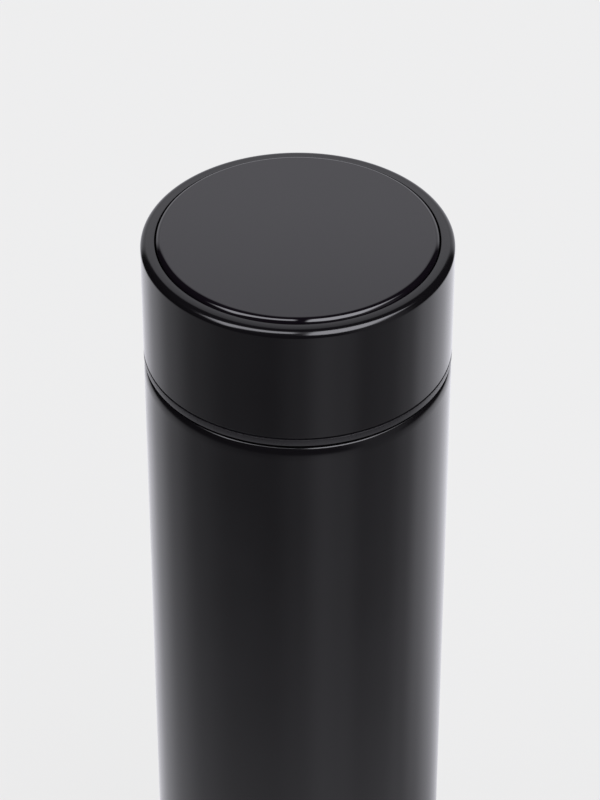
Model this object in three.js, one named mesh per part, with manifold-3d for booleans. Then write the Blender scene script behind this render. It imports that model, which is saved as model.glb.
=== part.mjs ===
// Vacuum flask with a screw-on temperature-display lid. Millimetres, +Z up, z = 0 on the table.
import * as THREE from 'three';
import { mergeVertices } from 'three/addons/utils/BufferGeometryUtils.js';
import Module from 'manifold-3d';

const wasm = await Module();
wasm.setup();

// ---- driving dimensions ----
const TOTAL_HEIGHT = 230;       // table to the top of the touch lens
const BODY_R = 33;              // body and lid share one diameter
const SHEET = 0.5;              // stainless sheet of both walls and of the lid shell
const GAP = 0.3;                // running and assembly clearance
const OUTER_SEG = 40;           // facets round the large visible pieces
const INNER_SEG = 28;           // facets round the pieces inside
const SMALL_SEG = 12;           // facets round screws, wires and other small pieces

// lid, seen from outside
const LENS_RISE = 0.8;          // the lens stands this far above the lid's rim
const LENS_EDGE_R = 1.15;
const LENS_THICK = 1.8;
const LID_TOP = TOTAL_HEIGHT - LENS_RISE;
const LID_OPENING_R = 30;
const LENS_R = LID_OPENING_R - GAP;
const LID_EDGE_R = 1.5;
const LIP_FALL = 0.05;          // the lip slopes down a little towards the rim
const LIP_TURN = 2.2;           // the lip's inner edge is turned down this far
const SKIRT_DEPTH = 27.25;      // lid top to the lower edge of the steel skirt
const COLLAR_HEIGHT = 1.5;      // plastic band showing under the skirt
const COLLAR_GAP = 0.5;         // shadow line between the skirt and the band
const SHOULDER_DEPTH = 30.25;   // lid top to the body's shoulder
const SHOULDER_IN = 0.65;       // the shoulder's edge is an ellipse: this far in
const SHOULDER_DOWN = 3;        // and this far down
const SKIRT_Z = LID_TOP - SKIRT_DEPTH;
const COLLAR_TOP = SKIRT_Z - COLLAR_GAP;
const COLLAR_Z = COLLAR_TOP - COLLAR_HEIGHT;
const SHOULDER_Z = LID_TOP - SHOULDER_DEPTH;

// neck, mouth and thread
const MOUTH_R = 24.1;
const NECK_R = MOUTH_R + SHEET;
const MOUTH_Z = 213.5;
const THREAD_LEAD = 8;          // two starts, 4 mm apart
const THREAD_STARTS = 2;
const NECK_THREAD_Z = 202.8;
const NECK_THREAD_TURNS = 0.8;
const NECK_BEAD_R = 1;
const NECK_RUN_OUT = -0.8;      // the beads sink into the neck at their ends
const LINER_BORE_R = 26.2;
const LINER_BEAD_R = 0.9;
const LINER_BEAD_OFFSET = 0.2;  // bead centre inside the bore wall
const LINER_THREAD_TURNS = 0.5;
const LINER_THREAD_START = 0.15; // in turns, from the +X axis
const LINER_RUN_OUT = 0.5;      // the beads sink into the liner at their ends

// inner vessel
const VESSEL_R = 29.4;
const VESSEL_Z = 12;
const VESSEL_CORNER_R = 6;
const SHOULDER_START_Z = 184;
const SHOULDER_OUT_R = 8;       // convex arc of the vessel's shoulder
const SHOULDER_IN_R = 6;        // concave arc into the neck

// base
const FOOT_HEIGHT = 1.2;        // the silicone ring lifts the steel off the table
const BASE_EDGE_R = 2.2;
const CURL_R = 29.9;            // the outer wall's edge curls in to this radius
const BASE_PLATE_Z = 7;
const PORT_R = 1.2;             // evacuation port of the vacuum space
const DIMPLE_R = 4.5;           // floor of the dimple round the port
const DIMPLE_EDGE_R = 6;
const DIMPLE_DEPTH = 1;
const STEP_IN_R = 20;           // the plate's stiffening step runs from here
const STEP_OUT_R = 23;          // to here
const STEP_RISE = 2;
const PLATE_RIM = 6;            // height of the plate's welded rim
const COVER_RIM = 3.6;          // height of the base cover's wall
const FOOT_IN_R = 18.4;
const FOOT_OUT_R = 26.6;
const FOOT_EDGE = 0.4;          // chamfer of the silicone ring

// lid interior, from the lens down
const TAPE_THICK = 0.4;
const TAPE_CLEAR = 0.2;         // the tape stays this clear of the lens
const HOUSING_R = LID_OPENING_R - GAP;
const HOUSING_WALL = 1.5;
const HOUSING_FLOOR = 1;
const HOUSING_FLOOR_Z = 217.1;
const HOUSING_TOP = LID_TOP - 2;
const HOUSING_FLOOR_TOP = HOUSING_FLOOR_Z + HOUSING_FLOOR;
const BOARD_R = 26;
const BOARD_Z = 222.5;
const BOARD_THICK = 1.2;
const POST_RING_R = 21;
const POST_R = 2.4;
const BOSS_R = 2.8;             // feet of the housing round its screws
const PILOT_R = 1.1;            // holes that the board screws cut their thread in
const BOARD_HOLE_R = 1.4;
const HOUSING_HOLE_R = 1.5;
const DECK_HOLE_R = 1.4;
const WIRE_HOLE_R = 1.5;
const HOUSING_SCREW_RING_R = 25;
const BOARD_SCREW = { headR: 2, headHeight: 1.2, shankR: 0.8, shankLength: 4.2 };
const HOUSING_SCREW = { headR: 2.2, headHeight: 1.3, shankR: 1.1, shankLength: 3.4 };
const DISPLAY = { width: 24, depth: 12, height: 2.4, offset: 6 };
const DECK_Z = 214.6;
const DECK_THICK = 1.2;
const DECK_TOP = DECK_Z + DECK_THICK;
const PLUG_R = 22;
const PLUG_WALL = 1;
const PLUG_Z = 206;
const PLUG_LIP = 0.9;           // the rims above and below the seal's groove
const LINER_WALL = 1.8;
const LEAD_IN = 0.6;            // chamfer at the mouth of the liner's bore
const COLLAR_EDGE = 0.25;
const SEAL_Z = 207.4;
const SEAL_HEIGHT = 3;
const PLATE_Z = 205;
const PROBE_R = 2.4;
const PROBE_TIP_Z = 199;
const PROBE_WALL = 0.4;
const PROBE_EDGE = 0.6;
const PROBE_FLANGE = 1.8;
const GASKET_THICK = 1;
const THERMISTOR_Z = PROBE_TIP_Z + 2.2;
const WIRE_R = 0.4;
const WIRE_Y = 14;              // the leads pass the battery cell here
const CELL_R = 10;
const CELL_STEP = 1.2;          // the coin cell's lower face is smaller by this
const CELL_HEIGHT = 3.2;
const CELL_Z = 218.9;

// ---- materials ----
function finish(color, roughness, metalness = 0) {
  return new THREE.MeshStandardMaterial({ color, roughness, metalness });
}
const satinBlackPaint = () => finish(0x121113, 0.3);
const glossBlack = () => finish(0x0a0a0b, 0.06);
const blackPlastic = () => finish(0x161517, 0.4);
const brushedSteel = () => finish(0xb9babc, 0.35, 1);
const brightSteel = () => finish(0xc4c5c7, 0.25, 1);
const clearSilicone = () => finish(0xd8d8d4, 0.6);
const darkSilicone = () => finish(0x1c1b1d, 0.75);

// ---- helpers ----
// Points on an arc about (cr, cz), both ends included; an ellipse if the upright radius differs.
function arc(cr, cz, radius, from, to, steps = 4, upright = radius) {
  const points = [];
  for (let i = 0; i <= steps; i++) {
    const a = THREE.MathUtils.degToRad(from + ((to - from) * i) / steps);
    points.push([cr + radius * Math.cos(a), cz + upright * Math.sin(a)]);
  }
  return points;
}

// Turns a profile of [radius, height] points about the Z axis.
function turned(profile, segments) {
  const area = profile.reduce((sum, [r, z], i) => {
    const [r2, z2] = profile[(i + 1) % profile.length];
    return sum + r * z2 - r2 * z;
  }, 0);
  const points = profile.map(([r, z]) => new THREE.Vector2(r, z));
  if (area < 0) points.reverse();
  if (points.every((p) => p.x > 0)) points.push(points[0].clone());
  return new THREE.LatheGeometry(points, segments).rotateX(Math.PI / 2);
}

function ring(innerR, outerR, bottom, top, segments) {
  return turned([[innerR, bottom], [outerR, bottom], [outerR, top], [innerR, top]], segments);
}

function disc(radius, bottom, top, segments, x = 0, y = 0) {
  const shape = new THREE.CylinderGeometry(radius, radius, top - bottom, segments);
  return shape.rotateX(Math.PI / 2).translate(x, y, (top + bottom) / 2);
}

function block(width, depth, height, x, y, z) {
  return new THREE.BoxGeometry(width, depth, height).translate(x, y, z);
}

function toManifold(geometry) {
  const copy = geometry.clone();
  copy.deleteAttribute('normal');
  copy.deleteAttribute('uv');
  const merged = mergeVertices(copy, 1e-4);
  return new wasm.Manifold(new wasm.Mesh({
    numProp: 3,
    vertProperties: new Float32Array(merged.attributes.position.array),
    triVerts: new Uint32Array(merged.index.array),
  }));
}

function fromManifold(solid) {
  const mesh = solid.getMesh();
  const geometry = new THREE.BufferGeometry();
  geometry.setAttribute('position', new THREE.BufferAttribute(mesh.vertProperties, 3));
  geometry.setIndex(new THREE.BufferAttribute(mesh.triVerts, 1));
  geometry.computeVertexNormals();
  return geometry;
}

function join(base, ...others) {
  return fromManifold(others.reduce((sum, g) => sum.add(toManifold(g)), toManifold(base)));
}

function cut(base, ...tools) {
  return fromManifold(tools.reduce((rest, g) => rest.subtract(toManifold(g)), toManifold(base)));
}

// A right-handed helix whose radius can run out at both ends.
class Helix extends THREE.Curve {
  constructor(radius, lead, turns, startAngle, startZ, runOut = 0) {
    super();
    Object.assign(this, { radius, lead, turns, startAngle, startZ, runOut });
  }

  getPoint(t, target = new THREE.Vector3()) {
    const a = this.startAngle + t * this.turns * 2 * Math.PI;
    const nearEnd = Math.min(t, 1 - t) * this.turns * 8;
    const r = this.radius + this.runOut * Math.max(0, 1 - nearEnd);
    return target.set(r * Math.cos(a), r * Math.sin(a), this.startZ + t * this.turns * this.lead);
  }
}

function wireAlong(path, radius, steps, sides) {
  const section = new THREE.Shape();
  for (let i = 0; i < sides; i++) {
    const a = (i / sides) * 2 * Math.PI;
    const [x, y] = [radius * Math.cos(a), radius * Math.sin(a)];
    if (i) section.lineTo(x, y);
    else section.moveTo(x, y);
  }
  section.closePath();
  return new THREE.ExtrudeGeometry(section, { steps, extrudePath: path, bevelEnabled: false });
}

// The beads of a thread, one for each start, equally spaced round the axis.
function threadBeads(radius, beadR, turns, startAngle, startZ, runOut) {
  return Array.from({ length: THREAD_STARTS }, (_, i) => {
    const angle = startAngle + (i * 2 * Math.PI) / THREAD_STARTS;
    const path = new Helix(radius, THREAD_LEAD, turns, angle, startZ, runOut);
    return wireAlong(path, beadR, Math.round(turns * INNER_SEG), 8);
  });
}

function onCircle(radius, count, firstAngle) {
  return Array.from({ length: count }, (_, i) => {
    const a = THREE.MathUtils.degToRad(firstAngle) + (i * 2 * Math.PI) / count;
    return [radius * Math.cos(a), radius * Math.sin(a)];
  });
}

// ---- flask ----
// Straight outer wall: a turned-in shoulder welded to the neck, and an edge curled in below.
function outerShell() {
  const inR = BODY_R - SHEET;
  const holeR = NECK_R + GAP;
  return turned([
    [CURL_R, FOOT_HEIGHT],
    ...arc(BODY_R - BASE_EDGE_R, FOOT_HEIGHT + BASE_EDGE_R, BASE_EDGE_R, -90, 0),
    ...arc(BODY_R - SHOULDER_IN, SHOULDER_Z - SHOULDER_DOWN, SHOULDER_IN, 0, 90, 6, SHOULDER_DOWN),
    [holeR, SHOULDER_Z],
    [holeR, SHOULDER_Z - SHEET],
    [inR - SHOULDER_IN, SHOULDER_Z - SHEET],
    [inR, SHOULDER_Z - SHOULDER_DOWN],
    ...arc(BODY_R - BASE_EDGE_R, FOOT_HEIGHT + BASE_EDGE_R, BASE_EDGE_R - SHEET, 0, -90),
    [CURL_R, FOOT_HEIGHT + SHEET],
  ], OUTER_SEG);
}

// Half profile of the vessel, from the axis at the bottom to the mouth, drawn inward by inset.
function vesselProfile(inset, top) {
  const outCentre = VESSEL_R - SHOULDER_OUT_R;
  const inCentre = NECK_R + SHOULDER_IN_R;
  const bend = Math.acos((inCentre - outCentre) / (SHOULDER_OUT_R + SHOULDER_IN_R));
  const bendDeg = THREE.MathUtils.radToDeg(bend);
  const neckStart = SHOULDER_START_Z + (SHOULDER_OUT_R + SHOULDER_IN_R) * Math.sin(bend);
  const corner = [VESSEL_R - VESSEL_CORNER_R, VESSEL_Z + VESSEL_CORNER_R];
  return [
    [0, VESSEL_Z + inset],
    ...arc(corner[0], corner[1], VESSEL_CORNER_R - inset, -90, 0, 3),
    ...arc(outCentre, SHOULDER_START_Z, SHOULDER_OUT_R - inset, 0, bendDeg, 3),
    ...arc(inCentre, neckStart, SHOULDER_IN_R + inset, 180 + bendDeg, 180, 3).slice(1),
    [NECK_R - inset, top],
    [0, top],
  ];
}

// Inner bottle: the drawn neck carries the rolled two-start thread and stands above the shoulder.
function innerVessel() {
  const outside = turned(vesselProfile(0, MOUTH_Z), INNER_SEG);
  const inside = turned(vesselProfile(SHEET, MOUTH_Z + 1), INNER_SEG);
  const beads = threadBeads(NECK_R, NECK_BEAD_R, NECK_THREAD_TURNS, 0, NECK_THREAD_Z, NECK_RUN_OUT);
  return cut(join(outside, ...beads), inside);
}

// Stepped plate that closes the vacuum space, with the evacuation port dimpled at its centre.
function vacuumBase() {
  const rimR = BODY_R - SHEET - GAP;
  const z = BASE_PLATE_Z;
  const top = z + SHEET;
  // On the slanted stretches the upper face starts this much further in.
  const shift = SHEET / 2;
  return turned([
    [PORT_R, z - DIMPLE_DEPTH],
    [DIMPLE_R, z - DIMPLE_DEPTH],
    [DIMPLE_EDGE_R, z],
    [STEP_IN_R, z],
    [STEP_OUT_R, z + STEP_RISE],
    [rimR, z + STEP_RISE],
    [rimR, z + PLATE_RIM],
    [rimR - SHEET, z + PLATE_RIM],
    [rimR - SHEET, top + STEP_RISE],
    [STEP_OUT_R - shift, top + STEP_RISE],
    [STEP_IN_R - shift, top],
    [DIMPLE_EDGE_R - shift, top],
    [DIMPLE_R - shift, top - DIMPLE_DEPTH],
    [PORT_R, top - DIMPLE_DEPTH],
  ], INNER_SEG);
}

// Flat getter pellet that keeps the vacuum clean.
function getter() {
  const pelletR = 4.5;
  const thick = 1.4;
  const besidePort = 13;
  const z = BASE_PLATE_Z + SHEET + GAP;
  return disc(pelletR, z, z + thick, 20, besidePort, 0);
}

// Glass-solder bead melted over the evacuation port.
function portSeal() {
  const z = BASE_PLATE_Z - DIMPLE_DEPTH - GAP;
  const beadR = 2.8;
  const thick = 1.2;
  return turned([[0, z - thick], [beadR - 1, z - 1], [beadR, z - 0.4], [beadR, z], [0, z]], 20);
}

// Stamped cup that hides the vacuum base, pressed up inside the curled edge.
function baseCover() {
  const rimR = CURL_R - GAP;
  const floor = FOOT_HEIGHT + GAP;
  const corner = 1;
  const innerCorner = 1.2;
  return turned([
    [0, floor],
    [rimR - corner, floor],
    [rimR, floor + corner],
    [rimR, floor + COVER_RIM],
    [rimR - SHEET, floor + COVER_RIM],
    [rimR - SHEET, floor + innerCorner],
    [rimR - innerCorner, floor + SHEET],
    [0, floor + SHEET],
  ], OUTER_SEG);
}

// Non-slip ring glued under the cover. The flask stands on it.
function footRing() {
  return turned([
    [FOOT_IN_R, FOOT_EDGE],
    [FOOT_IN_R + FOOT_EDGE, 0],
    [FOOT_OUT_R - FOOT_EDGE, 0],
    [FOOT_OUT_R, FOOT_EDGE],
    [FOOT_OUT_R, FOOT_HEIGHT],
    [FOOT_IN_R, FOOT_HEIGHT],
  ], OUTER_SEG);
}

// ---- lid ----
// Drawn steel cup: skirt, rounded rim and a flat lip round the lens opening.
function lidShell() {
  const inR = BODY_R - SHEET;
  const lipR = LID_OPENING_R;
  const edgeZ = LID_TOP - LIP_FALL - LID_EDGE_R;
  return turned([
    [BODY_R, SKIRT_Z],
    ...arc(BODY_R - LID_EDGE_R, edgeZ, LID_EDGE_R, 0, 90, 5),
    [lipR, LID_TOP],
    [lipR, LID_TOP - LIP_TURN],
    [lipR + SHEET, LID_TOP - LIP_TURN],
    [lipR + SHEET, LID_TOP - SHEET],
    ...arc(BODY_R - LID_EDGE_R, edgeZ, LID_EDGE_R - SHEET, 90, 0, 2),
    [inR, SKIRT_Z],
  ], OUTER_SEG);
}

// Gloss panel that is touched to wake the display.
function touchLens() {
  const top = TOTAL_HEIGHT;
  return turned([
    [0, top - LENS_THICK],
    [LENS_R, top - LENS_THICK],
    ...arc(LENS_R - LENS_EDGE_R, top - LENS_EDGE_R, LENS_EDGE_R, 0, 90, 5),
    [0, top],
  ], OUTER_SEG);
}

function lensTape() {
  const top = TOTAL_HEIGHT - LENS_THICK - TAPE_CLEAR;
  const outR = HOUSING_R - 2 * TAPE_CLEAR;
  return ring(HOUSING_R - HOUSING_WALL, outR, top - TAPE_THICK, top, INNER_SEG);
}

// Moulded tray under the lens, with posts for the circuit board and holes for its own screws.
function displayHousing(boardPosts, housingScrews) {
  const tray = turned([
    [0, HOUSING_FLOOR_Z],
    [HOUSING_R, HOUSING_FLOOR_Z],
    [HOUSING_R, HOUSING_TOP],
    [HOUSING_R - HOUSING_WALL, HOUSING_TOP],
    [HOUSING_R - HOUSING_WALL, HOUSING_FLOOR_TOP],
    [0, HOUSING_FLOOR_TOP],
  ], OUTER_SEG);
  const postTop = BOARD_Z - GAP;
  const midFloor = HOUSING_FLOOR_Z + HOUSING_FLOOR / 2;
  const posts = boardPosts.map(([x, y]) => disc(POST_R, midFloor, postTop, SMALL_SEG, x, y));
  const feet = housingScrews.map(([x, y]) => disc(BOSS_R, DECK_TOP + GAP, midFloor, SMALL_SEG, x, y));
  const pilots = boardPosts.map(([x, y]) => disc(PILOT_R, HOUSING_FLOOR_TOP, postTop + 1, SMALL_SEG, x, y));
  const above = HOUSING_FLOOR_TOP + 1;
  const holes = housingScrews.map(([x, y]) => disc(HOUSING_HOLE_R, DECK_TOP, above, SMALL_SEG, x, y));
  const wireHole = disc(WIRE_HOLE_R, DECK_TOP, above, SMALL_SEG, 0, WIRE_Y);
  return cut(join(tray, ...posts, ...feet), ...pilots, ...holes, wireHole);
}

function circuitBoard(boardPosts) {
  const top = BOARD_Z + BOARD_THICK;
  const holes = boardPosts.map(([x, y]) => disc(BOARD_HOLE_R, BOARD_Z - 1, top + 1, SMALL_SEG, x, y));
  return cut(disc(BOARD_R, BOARD_Z, top, INNER_SEG), ...holes);
}

// Pan-head screw: head bottom at z, shank hanging down.
function screw({ headR, headHeight, shankR, shankLength }, x, y, z) {
  return turned([
    [0, z - shankLength],
    [shankR * 0.6, z - shankLength],
    [shankR, z - shankLength + shankR],
    [shankR, z],
    [headR, z],
    [headR, z + headHeight * 0.6],
    [headR * 0.6, z + headHeight],
    [0, z + headHeight],
  ], SMALL_SEG).translate(x, y, 0);
}

// Block of light-emitting segments that shows the temperature through the lens.
function displayModule() {
  const { width, depth, height, offset } = DISPLAY;
  return block(width, depth, height, 0, offset, BOARD_Z + BOARD_THICK + GAP + height / 2);
}

// Coil that carries the touch from the back of the lens to the board.
function touchSpring() {
  const bottom = BOARD_Z + BOARD_THICK + GAP;
  const wireR = 0.3;
  const coilR = 2.4;
  const turns = 3.5;
  const offset = -12;
  const room = TOTAL_HEIGHT - LENS_THICK - GAP - bottom - 2 * wireR;
  const path = new Helix(coilR, room / turns, turns, 0, bottom + wireR);
  return wireAlong(path, wireR, Math.round(turns * SMALL_SEG), 6).translate(0, offset, 0);
}

function batteryCell() {
  const top = CELL_Z + CELL_HEIGHT;
  const edge = 0.2;
  return turned([
    [0, CELL_Z],
    [CELL_R - CELL_STEP, CELL_Z],
    [CELL_R, CELL_Z + 0.8],
    [CELL_R, top - edge],
    [CELL_R - edge, top],
    [0, top],
  ], 24);
}

// Bent strap under the cell, its two feet soldered to the board.
function batteryClip() {
  const thick = 0.3;
  const width = 5;
  const tab = 2.5;
  const reach = CELL_R + GAP;
  const bottom = CELL_Z - GAP - thick;
  const top = BOARD_Z - 0.2;
  const strap = new THREE.Shape();
  strap.moveTo(-reach - tab, top);
  strap.lineTo(-reach - tab, top - thick);
  strap.lineTo(-reach - thick, top - thick);
  strap.lineTo(-reach - thick, bottom);
  strap.lineTo(reach + thick, bottom);
  strap.lineTo(reach + thick, top - thick);
  strap.lineTo(reach + tab, top - thick);
  strap.lineTo(reach + tab, top);
  strap.lineTo(reach, top);
  strap.lineTo(reach, bottom + thick);
  strap.lineTo(-reach, bottom + thick);
  strap.lineTo(-reach, top);
  strap.closePath();
  const band = new THREE.ExtrudeGeometry(strap, { depth: width, bevelEnabled: false, steps: 1 });
  return band.rotateX(Math.PI / 2).translate(0, width / 2, 0);
}

// Polypropylene liner: collar band, threaded wall, deck and the hollow plug that carries the seal.
function lidLiner(housingScrews) {
  const wallR = LINER_BORE_R + LINER_WALL;
  const lipR = PLUG_R + PLUG_LIP;
  const wireHoleR = PROBE_R + 1.2;
  const body = turned([
    [wireHoleR, DECK_Z],
    [PLUG_R - PLUG_WALL, DECK_Z],
    [PLUG_R - PLUG_WALL, PLUG_Z],
    [lipR, PLUG_Z],
    [lipR, SEAL_Z - GAP],
    [PLUG_R, SEAL_Z - GAP],
    [PLUG_R, SEAL_Z + SEAL_HEIGHT + GAP],
    [lipR, SEAL_Z + SEAL_HEIGHT + GAP],
    [lipR, SEAL_Z + SEAL_HEIGHT + 1.1],
    [PLUG_R, DECK_Z],
    [LINER_BORE_R, DECK_Z],
    [LINER_BORE_R, COLLAR_Z + LEAD_IN],
    [LINER_BORE_R + LEAD_IN, COLLAR_Z],
    [BODY_R - COLLAR_EDGE, COLLAR_Z],
    [BODY_R, COLLAR_Z + COLLAR_EDGE],
    [BODY_R, COLLAR_TOP - COLLAR_EDGE],
    [BODY_R - COLLAR_EDGE, COLLAR_TOP],
    [wallR, COLLAR_TOP],
    [wallR, DECK_TOP],
    [wireHoleR, DECK_TOP],
  ], OUTER_SEG);
  // Each bead lies midway between the neck's two beads when the lid is shut.
  const pitch = THREAD_LEAD / THREAD_STARTS;
  const beads = threadBeads(
    LINER_BORE_R - LINER_BEAD_OFFSET,
    LINER_BEAD_R,
    LINER_THREAD_TURNS,
    LINER_THREAD_START * 2 * Math.PI,
    NECK_THREAD_Z + LINER_THREAD_START * THREAD_LEAD + pitch / 2,
    LINER_RUN_OUT,
  );
  const holes = housingScrews.map(([x, y]) => disc(DECK_HOLE_R, DECK_Z - 1, DECK_TOP + 1, SMALL_SEG, x, y));
  return cut(join(body, ...beads), ...holes);
}

// Silicone ring round the plug, with two lips that press on the neck's bore.
function lidSeal() {
  const inR = PLUG_R + GAP;
  const outR = MOUTH_R - GAP;
  const root = (inR + outR) / 2 + 0.1;
  const lipThick = 0.4;
  const valley = 0.4;
  const taper = 0.5;
  const lowLip = SEAL_Z + taper;
  const highLip = SEAL_Z + SEAL_HEIGHT - taper;
  const middle = SEAL_Z + SEAL_HEIGHT / 2;
  return turned([
    [inR, SEAL_Z],
    [root, SEAL_Z],
    [outR, lowLip],
    [outR, lowLip + lipThick],
    [root, middle - valley / 2],
    [root, middle + valley / 2],
    [outR, highLip - lipThick],
    [outR, highLip],
    [root, SEAL_Z + SEAL_HEIGHT],
    [inR, SEAL_Z + SEAL_HEIGHT],
  ], INNER_SEG);
}

// Steel cup under the plug: the only metal of the lid that meets the drink, with the probe.
function plugPlate() {
  const rimR = PLUG_R - PLUG_WALL - GAP;
  const rimTop = PLUG_Z + 3;
  const flangeR = PLUG_R + 0.6;
  const edge = 0.2;
  const floorTop = PLATE_Z + SHEET;
  return turned([
    [PROBE_R + GAP, PLATE_Z],
    [flangeR - edge, PLATE_Z],
    [flangeR, PLATE_Z + edge],
    [flangeR, floorTop],
    [rimR, floorTop],
    [rimR, rimTop],
    [rimR - SHEET, rimTop],
    [rimR - SHEET, floorTop],
    [PROBE_R + GAP, floorTop],
  ], INNER_SEG);
}

function insulationFoam() {
  const inR = PROBE_R + PROBE_FLANGE + 2 * GAP;
  const outR = PLUG_R - PLUG_WALL - GAP - SHEET - GAP;
  return ring(inR, outR, PLATE_Z + SHEET + GAP, DECK_Z - GAP, 24);
}

// Closed-end steel thimble through the plate, with a flange that clamps the gasket.
function sensorProbe() {
  const boreR = PROBE_R - PROBE_WALL;
  const flangeZ = PLATE_Z + SHEET + GASKET_THICK + 2 * GAP;
  const flangeTop = flangeZ + 0.6;
  return turned([
    [0, PROBE_TIP_Z],
    [PROBE_R - PROBE_EDGE, PROBE_TIP_Z],
    [PROBE_R, PROBE_TIP_Z + PROBE_EDGE],
    [PROBE_R, flangeZ],
    [PROBE_R + PROBE_FLANGE, flangeZ],
    [PROBE_R + PROBE_FLANGE, flangeTop],
    [boreR, flangeTop],
    [boreR, PROBE_TIP_Z + PROBE_WALL + PROBE_EDGE],
    [0, PROBE_TIP_Z + PROBE_WALL],
  ], 16);
}

function probeGasket() {
  const z = PLATE_Z + SHEET + GAP;
  return ring(PROBE_R + GAP, PROBE_R + PROBE_FLANGE - 0.1, z, z + GASKET_THICK, 16);
}

// Bead thermistor at the probe's tip.
function thermistor() {
  const beadR = 1;
  return new THREE.SphereGeometry(beadR, SMALL_SEG, 8).translate(0, 0, THERMISTOR_Z);
}

// Sleeved pair of leads from the thermistor, up through the deck and round the cell to the board.
function sensorWire() {
  const crossing = (DECK_TOP + HOUSING_FLOOR_Z) / 2;
  const bend = 2;
  const path = new THREE.CurvePath();
  const at = (y, z) => new THREE.Vector3(0, y, z);
  path.add(new THREE.LineCurve3(at(0, THERMISTOR_Z + 1.4), at(0, crossing - bend)));
  path.add(new THREE.QuadraticBezierCurve3(at(0, crossing - bend), at(0, crossing), at(bend, crossing)));
  path.add(new THREE.LineCurve3(at(bend, crossing), at(WIRE_Y - bend, crossing)));
  path.add(new THREE.QuadraticBezierCurve3(
    at(WIRE_Y - bend, crossing),
    at(WIRE_Y, crossing),
    at(WIRE_Y, crossing + bend),
  ));
  path.add(new THREE.LineCurve3(at(WIRE_Y, crossing + bend), at(WIRE_Y, BOARD_Z - GAP)));
  return wireAlong(path, WIRE_R, 32, 6);
}

// ---- assembly ----
function part(name, geometry, material) {
  const mesh = new THREE.Mesh(geometry, material);
  mesh.name = name;
  return mesh;
}

const flask = new THREE.Group();
flask.add(
  part('outer_shell', outerShell(), satinBlackPaint()),
  part('inner_vessel', innerVessel(), brushedSteel()),
  part('vacuum_base', vacuumBase(), brushedSteel()),
  part('getter', getter(), finish(0x5c5c60, 0.7, 0.4)),
  part('port_seal', portSeal(), finish(0x3d4a40, 0.2)),
  part('base_cover', baseCover(), brightSteel()),
  part('foot_ring', footRing(), darkSilicone()),
);

const boardPosts = onCircle(POST_RING_R, 3, 30);
const housingScrews = onCircle(HOUSING_SCREW_RING_R, 3, 90);
const lid = new THREE.Group();
lid.add(
  part('touch_lens', touchLens(), glossBlack()),
  part('lens_tape', lensTape(), finish(0x202024, 0.8)),
  part('lid_shell', lidShell(), satinBlackPaint()),
  part('display_housing', displayHousing(boardPosts, housingScrews), blackPlastic()),
  part('circuit_board', circuitBoard(boardPosts), finish(0x1d5a36, 0.45)),
  part('display_module', displayModule(), finish(0x1a1a1c, 0.3)),
  part('touch_spring', touchSpring(), brightSteel()),
  part('battery_cell', batteryCell(), brightSteel()),
  part('battery_clip', batteryClip(), brightSteel()),
  part('lid_liner', lidLiner(housingScrews), blackPlastic()),
  part('lid_seal', lidSeal(), clearSilicone()),
  part('plug_plate', plugPlate(), brushedSteel()),
  part('insulation_foam', insulationFoam(), finish(0xe9e6da, 0.95)),
  part('sensor_probe', sensorProbe(), brightSteel()),
  part('probe_gasket', probeGasket(), clearSilicone()),
  part('thermistor', thermistor(), finish(0x2b2b2b, 0.5)),
  part('sensor_wire', sensorWire(), finish(0xb0241c, 0.5)),
);
boardPosts.forEach(([x, y], i) => {
  const z = BOARD_Z + BOARD_THICK + GAP / 2;
  lid.add(part(`board_screw_${i + 1}`, screw(BOARD_SCREW, x, y, z), brightSteel()));
});
housingScrews.forEach(([x, y], i) => {
  const z = HOUSING_FLOOR_TOP + GAP / 2;
  lid.add(part(`housing_screw_${i + 1}`, screw(HOUSING_SCREW, x, y, z), brightSteel()));
});

const vacuumFlask = new THREE.Group();
vacuumFlask.name = 'vacuum_flask';
vacuumFlask.add(flask, lid);

export default vacuumFlask;
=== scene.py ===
import math

import bpy
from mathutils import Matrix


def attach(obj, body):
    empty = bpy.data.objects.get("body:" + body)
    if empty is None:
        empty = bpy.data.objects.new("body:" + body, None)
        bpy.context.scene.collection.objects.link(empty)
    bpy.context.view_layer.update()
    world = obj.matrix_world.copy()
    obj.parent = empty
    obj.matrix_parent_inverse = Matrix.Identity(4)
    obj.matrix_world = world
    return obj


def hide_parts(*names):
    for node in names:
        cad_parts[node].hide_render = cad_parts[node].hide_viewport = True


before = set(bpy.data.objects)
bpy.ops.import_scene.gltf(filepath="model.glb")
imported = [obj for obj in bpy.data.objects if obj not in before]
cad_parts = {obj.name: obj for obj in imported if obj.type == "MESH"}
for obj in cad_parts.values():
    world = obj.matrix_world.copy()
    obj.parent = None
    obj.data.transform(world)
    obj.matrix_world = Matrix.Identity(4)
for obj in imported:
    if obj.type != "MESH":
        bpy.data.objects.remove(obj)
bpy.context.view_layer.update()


# ---------------------------------------------------------------------------
# Outer wall of the flask. A straight tube of stainless sheet whose top is turned in to a flat
# shoulder, where it is welded to the neck, and whose lower edge is curled in. It is sprayed satin
# black all over, so the rounded edges carry the same paint as the wall.

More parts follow.
